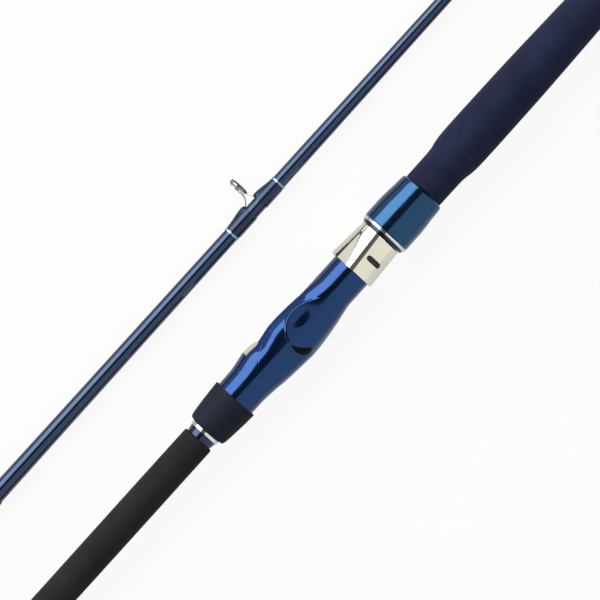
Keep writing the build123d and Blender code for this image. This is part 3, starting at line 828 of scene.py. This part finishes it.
def hood_section(v, inset=0.0):
    """
    Half of the hood's outside at v = 0 at the mouth to 1 at the nut, as (up, side) points from the up
    side to the palm: a steep roof over the reel's foot, a flat facet, then an oval with a ridge on top.
    """
    round_r = 15.2 - 1.55 * v
    ridge = -0.6 + 2.2 * v
    roof_up = 11.75 - 0.35 * v
    facet_up = 5.2 + 5.6 * float(smoothstep(0.02, 0.92, v))
    reach_up = 15.9 - 1.85 * v

    def oval(up):
        u = np.abs(up - ridge) / np.where(up > ridge, round_r, round_r + ridge)
        return round_r * (1 - np.clip(u, 0, 1) ** RIDGE_POWER) ** (1 / RIDGE_POWER)

    facet_side = float(oval(np.array(facet_up)))
    roof_side = facet_side - (roof_up - facet_up) * FACET_SLOPE
    bend = roof_side - (reach_up - roof_up) * math.tan(ROOF_SLOPE)
    t = np.linspace(0, 1, 22)[:-1]
    roof_ups = (1 - t**2) * reach_up + t**2 * (roof_up + LEDGE)
    roof_sides = 2 * t * (1 - t) * max(bend, 0.5) + t**2 * (roof_side - LEDGE_RISE)
    # A narrow ledge marks each edge of the facet.
    lines = [
        [(up + LEDGE, side - LEDGE_RISE), (up, side), (up - LEDGE, side + LEDGE_RISE)]
        for up, side in ((roof_up, roof_side), (facet_up, facet_side))
    ]
    across = np.linspace(0, 1, 9)[1:-1, None]
    start, stop = np.array(lines[0][-1]), np.array(lines[1][0])
    facet = start + (stop - start) * across
    phi = np.linspace(math.acos(np.clip((facet_up - 0.6 - ridge) / round_r, -1, 1)), math.pi, 62)
    up = ridge + np.where(np.cos(phi) > 0, round_r, round_r + ridge) * np.cos(phi)
    half = [np.stack((roof_ups, roof_sides), axis=1), lines[0], facet, lines[1]]
    half = np.concatenate((*half, np.stack((up, oval(up)), axis=1)))
    half[0, 1] = half[-1, 1] = 0.0
    return half * (1, SIDE_SPREAD) * (1 - inset / 15.0)


def hood_grid(ys, start, end, insets):
    rows = []
    for y, inset in zip(ys, insets):
        half = hood_section((y - start) / (end - start), inset)
        loop = np.concatenate((half, half[-2:0:-1] * (1, -1)))
        rows.append(np.stack((-loop[:, 0], np.full(len(loop), y), loop[:, 1]), axis=1))
    return HANDLE.world(np.array(rows))


def sliding_hood():
    start, end = stations("hood_shell")
    ys = [start, start + 0.12, *np.linspace(start + 0.35, end - 0.2, 50), end, end, start]
    insets = [0.12, 0.03] + [0.0] * 50 + [0.15, HOOD_WALL, HOOD_WALL]
    hood = node_piece("hood_shell", [hood_grid(ys, start, end, insets)], CHROME, "hood")
    for side in (1, -1):
        cut(hood, slot_cutter(side))
    ys = [start + 0.8, *np.linspace(start + 1.2, end - 0.8, 12), end - 0.4]
    outer = hood_grid(ys, start, end, [0.9] + [HOOD_WALL + 0.03] * 12 + [0.9])
    bores = [(end - 0.4, NUT_BORE_R), (end - 8.5, NUT_BORE_R)]
    bores += [(end - 8.6, 13.01), (start + 0.8, 13.03)]
    grid = np.concatenate((outer, HANDLE.world(wind(bores, outer.shape[1]))))
    node_piece("hood_liner", [grid], BLACK_PLASTIC, "hood")


def slot_cutter(side):
    """An upright round-ended prism through the hood's wall, long way round the hood."""
    outward = np.array((math.sin(SLOT_TILT), 0.0, side * math.cos(SLOT_TILT)))
    tangent = np.array((math.cos(SLOT_TILT), 0.0, -side * math.sin(SLOT_TILT)))
    centre, ahead = np.array((0.0, SLOT_STATION, 0.0)), np.array((0.0, 1.0, 0.0))
    half = (SLOT_LONG - SLOT_SHORT) / 2
    ring = []
    for turn in around(40):
        along = half * (1 if math.cos(turn) >= 0 else -1) + SLOT_SHORT / 2 * math.cos(turn)
        ring.append(centre + tangent * along + ahead * SLOT_SHORT / 2 * math.sin(turn))
    ring = np.array(ring)
    return cutter("slot_cutter", HANDLE.world([ring + outward * depth for depth in SLOT_DEPTHS]))


def threaded_barrel():
    """The barrel with a right-hand helical thread, on show where the nut has moved away."""
    start, end = stations("threaded_barrel")
    first, last = SEAT_FRONT + 1.0, end - 0.6
    columns = 72
    angle = around(columns)[None, :]
    y = np.arange(first, last, THREAD_STEP)[:, None] + 0 * angle
    phase = ((y + THREAD_PITCH * angle / (2 * math.pi)) / THREAD_PITCH) % 1.0
    tooth = np.clip(1.35 - 3.2 * np.abs(phase - 0.5), 0.0, 1.0)
    runout = smoothstep(first, first + 2.0, y) * smoothstep(last, end - 2.5, y)
    r = THREAD_R - THREAD_DEPTH * (1 - tooth) * runout
    thread = np.stack((-r * np.cos(angle), y, r * np.sin(angle)), axis=2)
    rear = [(start, BARREL_BORE_R), (start, SEAT_BORE_R)]
    rear += [(SEAT_FRONT, SEAT_BORE_R), (SEAT_FRONT, THREAD_R)]
    front = [(end, THREAD_R), (end, BARREL_BORE_R)]
    grid = HANDLE.world(np.concatenate((wind(rear, columns), thread, wind(front, columns))))
    node_piece("threaded_barrel", [grid], BLACK_PLASTIC, "handle")


def lock_nut():
    start, end = stations("nut_lip")
    outline = [(start, 14.0, 0.3), (start, 14.5, 0.4), (start + 0.7, 15.0, 0.5), (end, 15.2, 0.2)]
    tube_piece("nut_lip", outline, NUT_BORE_R, DARK_LIP, "lock_nut", 128)
    start, end = stations("nut_ring")
    r = reach("nut_ring")
    outline = [(start, r - 0.6, 0.3), (start + 0.35, r, 0.4)]
    outline += [(end - 0.3, r, 0.3), (end, r - 0.35, 0.2)]
    tube_piece("nut_ring", outline, NUT_BORE_R, SILVER, "lock_nut", 128)
    start, end = stations("nut_shell")
    r = reach("nut_shell")
    shape = [(start + 0.6, r), (start + 12.0, r - 0.02), (start + 18.5, r - 0.35)]
    shape = monotone(shape + [(start + 24.5, r - 0.9), (end - 2.6, r - 1.2)])
    outline = [(start, r - 0.35, 0.15)]
    outline += [(y, float(shape(y)), 0.0) for y in np.linspace(start + 0.5, end - 2.6, 40)]
    outline += [(end - 0.9, 14.85, 1.4), (end, 13.75, 0.7), (end, NUT_BORE_R + 0.8, 0.3)]
    tube_piece("nut_shell", outline, NUT_BORE_R, NUT_BLUE, "lock_nut", 160)


# ---- Blanks, ferrule and guides
HANDLE_BLANK = monotone([(-490.0, BLANK_R), (290.0, BLANK_R), (560.0, 7.3)])
TIP_BLANK = monotone(
    [(-307.0, 5.58), (-249.0, 5.58), (-219.0, 5.32), (-27.0, 4.73), (159.0, 4.05), (763.0, 1.1)]
)
SOCKET_DEPTH = 58.0
SOCKET_BORE_R = 5.65
SLEEVE_EASE = 0.9
FOOT_WIDTH = 2.6
WIRE = 0.66
# The second guide sits a few degrees askew on its blank.
GUIDE_YAW = {"guide_1": math.radians(4.0)}
GUIDE_RING_R = 6.4
BOW_TURN = 128.0
TIE_TURN = math.radians(122.0)
UPWARDS = (0.0, 1.0, 0.0)


def blank(node, rod, radius, bore, body):
    """A tapered tube, from its radius along the rod and the (y, r) corners of its bore."""
    start, end = stations(node)
    outline = [(y, float(radius(y)), 0.0) for y in np.linspace(start, end, 180)]
    outline[0] = (start, outline[0][1], 0.25)
    outline[-1] = (end, outline[-1][1], 0.25)
    corners = outline + [(y, r, 0.0) for y, r in reversed(bore(start, end))]
    turned_piece(node, rod, corners, BLANK_BLUE, body, 64)


def handle_bore(start, end):
    step = end - SOCKET_DEPTH
    return [(start, 6.0), (step, 6.0), (step, SOCKET_BORE_R), (end, SOCKET_BORE_R)]


def tip_bore(start, end):
    return [(start, 4.3), (159.0, 3.0), (380.0, 1.6), (380.0, 0.0), (end, 0.0)]


def sleeve(node, rod, radius, wall, material, body, columns=72):
    """A short wound band on a blank, drawn in at both ends."""
    start, end = stations(node)
    ease = min(0.35 * (end - start), SLEEVE_EASE)
    corners = []
    for y in np.linspace(start, end, 24):
        swell = 0.35 + 0.65 * float(smoothstep(0, ease, min(y - start, end - y)))
        corners.append((y, float(radius(y)) + wall * swell, 0.0))
    corners += [(end, float(radius(end)), 0.0), (start, float(radius(start)), 0.0)]
    turned_piece(node, rod, corners, material, body, columns)


def guide(name, rod, radius, body):
    """A double-footed guide: frame on bent legs, dark ring, two wraps and their trim bands."""
    ring_low, ring_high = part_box(f"{name}_ring")
    y = ((ring_low.y + ring_high.y) / 2 - DATUM_Y) / MM
    ring_r = reach(f"{name}_frame")
    k = ring_r / GUIDE_RING_R
    height = (rod.x - (ring_low.x + ring_high.x) / 2) / MM
    base = float(radius(y))
    yaw = GUIDE_YAW.get(name, 0.0)

    def place(points):
        """Local (along, up, side) about the ring's station, turned by the yaw, to the frame."""
        p = np.asarray(points, float)
        along, up, side = p[..., 0], p[..., 1], p[..., 2]
        lean = smoothstep(base + 1.0, height - 0.3 * ring_r, up)
        turned = along - side * math.sin(yaw) * lean
        across = side * (1 + (math.cos(yaw) - 1) * lean)
        return rod.world(np.stack((-up, y + turned, across), axis=-1))

    def hoop(profile):
        ring = wind(profile, 72)
        return place(np.stack((ring[..., 1], height - ring[..., 0], ring[..., 2]), axis=2))

    def bar(path, width, thickness, up=UPWARDS):
        return place(sweep(path, width, thickness, up))

    lip = [
        ((0.1 + 0.98 * math.cos(t)) * k, ring_r + (0.8 * math.sin(t) - 0.9) * k)
        for t in around(24)
    ]
    node_piece(f"{name}_ring", [hoop(lip)], CERAMIC, body)

    band_r = ring_r - 0.62 * k
    band = [(-0.35 * k, band_r), (-0.35 * k, ring_r), (0.35 * k, ring_r), (0.35 * k, band_r)]
    grids = [hoop(rounded(band, 0.2 * k))]
    # One bent wire: it leans back behind the ring and runs down both legs to the rear foot.
    low = base + 0.62 * k
    bow = np.radians(np.linspace(-BOW_TURN, BOW_TURN, 49))
    lean = smoothstep(0.0, math.radians(55.0), np.abs(bow))
    bow_r = ring_r - 0.3 * k
    arch = (-0.5 * k - 1.5 * k * lean, height + bow_r * np.cos(bow), bow_r * np.sin(bow))
    drop = height - 0.62 * ring_r - low
    foot = [
        (-2.3 * k, low + 0.66 * drop, 0.66 * ring_r),
        (-3.4 * k, low + 0.36 * drop, 0.45 * ring_r),
        (-5.0 * k, low + 0.12 * drop, 0.24 * ring_r),
        (-6.6 * k, low, 0.85 * k),
        (-8.8 * k, low - 0.05, 0.7 * k),
    ]
    left = [(a, u, -w) for a, u, w in reversed(foot)]
    path = spline_points(left + list(zip(*arch)) + foot, 4)
    grids.append(bar(path, WIRE * k, WIRE * k))
    for side in (1, -1):
        up, across = height + bow_r * math.cos(TIE_TURN), bow_r * math.sin(side * TIE_TURN)
        grids.append(bar([(a * k, up, across) for a in (-2.0, -1.2, -0.3)], WIRE * k, WIRE * k))
    drop = height - ring_r - low
    strut = [
        (0.0, height - ring_r + 0.35 * k, 0.0),
        (0.5 * k, height - ring_r - 0.35 * drop, 0.0),
        (1.3 * k, low + 0.25 * drop, 0.0),
        (2.6 * k, low + 0.1 * k, 0.0),
        (4.6 * k, low, 0.0),
    ]
    strut = spline_points(strut, 6)
    grids.append(bar(strut, np.linspace(0.9 * k, 1.9 * k, len(strut)), 0.5 * k, (1.0, 0.2, 0.0)))
    taper = np.linspace(0, 1, 14)
    for near, far in ((-6.0 * k, -21.8 * k), (1.5 * k, 15.4 * k)):
        along = np.linspace(near, far, 14)
        foot_r = np.array([float(radius(y + a)) for a in along])
        path = np.stack((along, foot_r + 0.62 * k * (1 - taper) + 0.1 * taper, 0 * along), axis=1)
        grids.append(bar(path, FOOT_WIDTH * k * (1 - 0.35 * taper**3), np.linspace(1.2 * k, 0.3, 14)))
    node_piece(f"{name}_frame", grids, STEEL, body)

    wraps, trims = [], []
    for near, far, trim_near in ((-6.6 * k, -23.2 * k, -25.0 * k), (1.4 * k, 16.7 * k, 16.7 * k)):
        wraps.append(rod.world(wrap_skin(y, near, far, radius, k)))
        trims.append(rod.world(wind(trim_profile(y + trim_near + 0.3 * k, 1.2 * k, radius), 72)))
    node_piece(f"{name}_wraps", wraps, WRAP, body)
    node_piece(f"{name}_trims", trims, TRIM, body)


def trim_profile(start, length, radius):
    """A rounded band on the rod, from its outside to its bore."""
    end = start + length
    profile = []
    for t in np.linspace(0, 1, 9):
        y = start + length * t
        profile.append((y, float(radius(y)) + 0.38 + 0.2 * math.sin(math.pi * t)))
    return profile + [(end, float(radius(end))), (start, float(radius(start)))]


def wrap_skin(y, near, far, radius, k):
    """Thread over a guide's foot: a sleeve with a ridge that fades away from the guide's ring."""
    angle = around(96)[None, :]
    turn = np.minimum(angle, 2 * math.pi - angle)
    v = np.concatenate(([0.0, 0.015, 0.04], np.linspace(0.08, 0.95, 26), [0.98, 1.0]))[:, None]
    along = near + (far - near) * v + 0 * turn
    plain = np.array([float(radius(y + a)) for a in along[:, 0]])[:, None] + 0 * turn
    wall = 0.45 * (0.45 + 0.55 * smoothstep(0.0, 0.06, v)) * (0.5 + 0.5 * smoothstep(1.0, 0.93, v))
    ridge = 1.45 * k * (1 - smoothstep(0.12, 0.97, v)) * (0.72 + 0.28 * smoothstep(0.0, 0.1, v))
    width = 1.75 * k / plain
    r = plain + wall + ridge * np.exp(-((turn / width) ** 2.4) * 0.55)
    # The last two rows are the bore.
    r, along = np.concatenate((r, plain[[-1, 0]])), np.concatenate((along, along[[-1, 0]]))
    return np.stack((-r * np.cos(angle), y + along, r * np.sin(angle)), axis=2)


def tip_top():
    """The end guide: a tube on the blank, two arms and a heel that carry its ring."""
    low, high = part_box("tip_top_ring")
    y = ((low.y + high.y) / 2 - DATUM_Y) / MM
    height = (TIP.x - (low.x + high.x) / 2) / MM
    ring_r = reach("tip_top_frame")
    start = stations("tip_top_frame")[0]
    tube_end = y - 2.0

    def hoop(profile):
        return TIP.world(wind(profile, 64) + (-height, y, 0.0))

    def bar(points, width, thickness, up):
        return TIP.world(sweep(spline_points(points, 6), width, thickness, up))

    tube = [(start, 1.75), (tube_end, 1.75), (tube_end, 1.15), (start, float(TIP_BLANK(start)))]
    band = [(-0.7, 3.98), (-0.7, ring_r), (0.7, ring_r), (0.7, 3.98)]
    grids = [TIP.world(wind(rounded(tube, 0.15), 40)), hoop(rounded(band, 0.25))]
    for side in (1, -1):
        arm = [(-1.1, start + 6.0, side * 1.35), (-1.9, y - 5.5, side * 2.1)]
        arm += [(-3.4, y - 2.0, side * 3.1), (-(height - 1.6), y - 0.3, side * 3.95)]
        grids.append(bar(arm, 1.0, 0.75, (0.0, 0.2, 1.0)))
    heel = [(-1.0, tube_end - 3.0, 0.0), (-1.5, tube_end - 0.8, 0.0)]
    heel.append((-(height - ring_r + 0.35), y - 0.1, 0.0))
    grids.append(bar(heel, 1.2, 0.9, (0.0, 0.0, 1.0)))
    node_piece("tip_top_frame", grids, STEEL, "tip_section")
    lip = [(math.cos(t), 3.6 + 0.4 * math.sin(t)) for t in around(18)]
    node_piece("tip_top_ring", [hoop(lip)], CERAMIC, "tip_section")


# ---- Build every piece
butt_cap()
rear_grip()
rear_trim()
rear_collar()
seat_body()
painted_shade_crescents()
fixed_hood()
sliding_hood()
threaded_barrel()
lock_nut()
foregrip()
blank("handle_blank", HANDLE, HANDLE_BLANK, handle_bore, "handle")
blank("tip_blank", TIP, TIP_BLANK, tip_bore, "tip_section")
sleeve("socket_wrap", HANDLE, HANDLE_BLANK, 0.55, WRAP, "handle")
sleeve("socket_trim", HANDLE, HANDLE_BLANK, 0.65, TRIM, "handle")
sleeve("ferrule_wrap", TIP, TIP_BLANK, 0.5, WRAP, "tip_section")
sleeve("ferrule_trim", TIP, TIP_BLANK, 0.6, TRIM, "tip_section")
sleeve("tip_top_wrap", TIP, TIP_BLANK, 0.45, WRAP, "tip_section", 48)
guide("stripper", HANDLE, HANDLE_BLANK, "handle")
for number in range(1, 6):
    guide(f"guide_{number}", TIP, TIP_BLANK, "tip_section")
tip_top()

for node, material in (("nut_insert", BLACK_PLASTIC), ("rear_bushes", BUSH), ("front_bushes", BUSH)):
    mesh = frame["nodes"][node].data
    mesh.materials.clear()
    mesh.materials.append(material)


# ---- Studio
# A pale floor, a strip light over the reel side and a broad soft light over the palm side.
FLOOR_HALF = 40.0
FLOOR_DARK = (0.046, 0.046, 0.046)
FLOOR_LIGHT = (0.052, 0.052, 0.052)
# How much the floor shines by itself, for other rays and for the camera's.
FLOOR_GLOW = (0.585, 0.918)
ROOM_GREY = (0.1, 0.1, 0.105, 1.0)
BACKDROP = (0.93, 0.93, 0.935, 1.0)
VIEW_CENTRE = (-10.9, -23.2)
VIEW_TURN = math.radians(42.1)
VIEW_WIDTH = 360.0
LENS = 200.0
SENSOR = 36.0
# Each panel: from and to degrees from the vertical, distance, length, radiance and colour.
PANELS = {
    "strip_light": (-29.0, -77.0, 1.5, 5.0, 3.8, (1.0, 0.965, 0.9)),
    "horizon_light": (-77.5, -89.5, 1.5, 5.0, 0.66, (0.86, 0.8, 1.0)),
    "palm_light": (3.5, 89.5, 1.6, 3.8, 0.7, (1.0, 0.985, 0.925)),
}


def floor():
    h = FLOOR_HALF
    mesh = bpy.data.meshes.new("floor")
    mesh.from_pydata([(-h, -h, 0), (h, -h, 0), (h, h, 0), (-h, h, 0)], [], [(0, 1, 2, 3)])
    paint = Paint("floor_paper", (0.93, 0.93, 0.93), 0.9, specular=0.1)
    paint.two_tone(paint.spread(paint.noise(3.0)), FLOOR_DARK, FLOOR_LIGHT)
    # The floor itself is lit a little, so that the rod's shadow stays faint.
    ray = paint.node("ShaderNodeLightPath", {})
    paint.set("Emission Color", (1.0, 1.0, 1.0, 1.0))
    glow = paint.spread(ray.outputs["Is Camera Ray"], *FLOOR_GLOW, 0.0, 1.0)
    paint.link(glow, paint.shader.inputs["Emission Strength"])
    obj = new_object("floor", mesh)
    mesh.materials.append(paint.material)


def panel(name, low_angle, high_angle, distance, length, radiance, color):
    """A soft panel that fills low_angle to high_angle from the vertical, towards +X where positive."""
    a, b = math.radians(low_angle), math.radians(high_angle)
    mid = (a + b) / 2
    width = 2 * distance * math.tan(abs(b - a) / 2)
    light = bpy.data.lights.new(name, "AREA")
    light.shape = "RECTANGLE"
    light.size = width
    light.size_y = length
    light.color = color
    # A flat panel of radiance L gives off pi * L * area.
    light.energy = radiance * math.pi * width * length
    obj = new_object(name, light)
    outward = Vector((math.sin(mid), 0.0, math.cos(mid)))
    obj.location = Vector((HANDLE.x, DATUM_Y, 0.0)) + outward * distance
    x_axis = Vector((math.cos(mid), 0.0, -math.sin(mid)))
    obj.rotation_mode = "QUATERNION"
    obj.rotation_quaternion = Matrix((x_axis, Vector((0, 1, 0)), outward)).transposed().to_quaternion()
    obj.visible_camera = False


def world():
    made = bpy.data.worlds.new("studio")
    bpy.context.scene.world = made
    made.use_nodes = True
    tree = made.node_tree
    ray = tree.nodes.new("ShaderNodeLightPath")
    mix = tree.nodes.new("ShaderNodeMix")
    mix.data_type = "RGBA"
    mix.inputs[MIX_A].default_value = ROOM_GREY
    mix.inputs[MIX_B].default_value = BACKDROP
    tree.links.new(ray.outputs["Is Camera Ray"], mix.inputs["Factor"])
    tree.links.new(mix.outputs[MIX_OUT], tree.nodes["Background"].inputs["Color"])


def camera():
    data = bpy.data.cameras.new("camera")
    data.lens = LENS
    data.sensor_width = SENSOR
    data.clip_start = 0.01
    data.clip_end = 100.0
    obj = new_object("camera", data)
    x, y, z = HANDLE.world((*VIEW_CENTRE, 0.0))
    obj.location = (x, y, z + VIEW_WIDTH * MM * LENS / SENSOR)
    obj.rotation_euler = (0.0, 0.0, VIEW_TURN)
    bpy.context.scene.camera = obj


floor()
world()
camera()
for name, facts in PANELS.items():
    panel(name, *facts)
bpy.context.scene.view_settings.view_transform = "Standard"
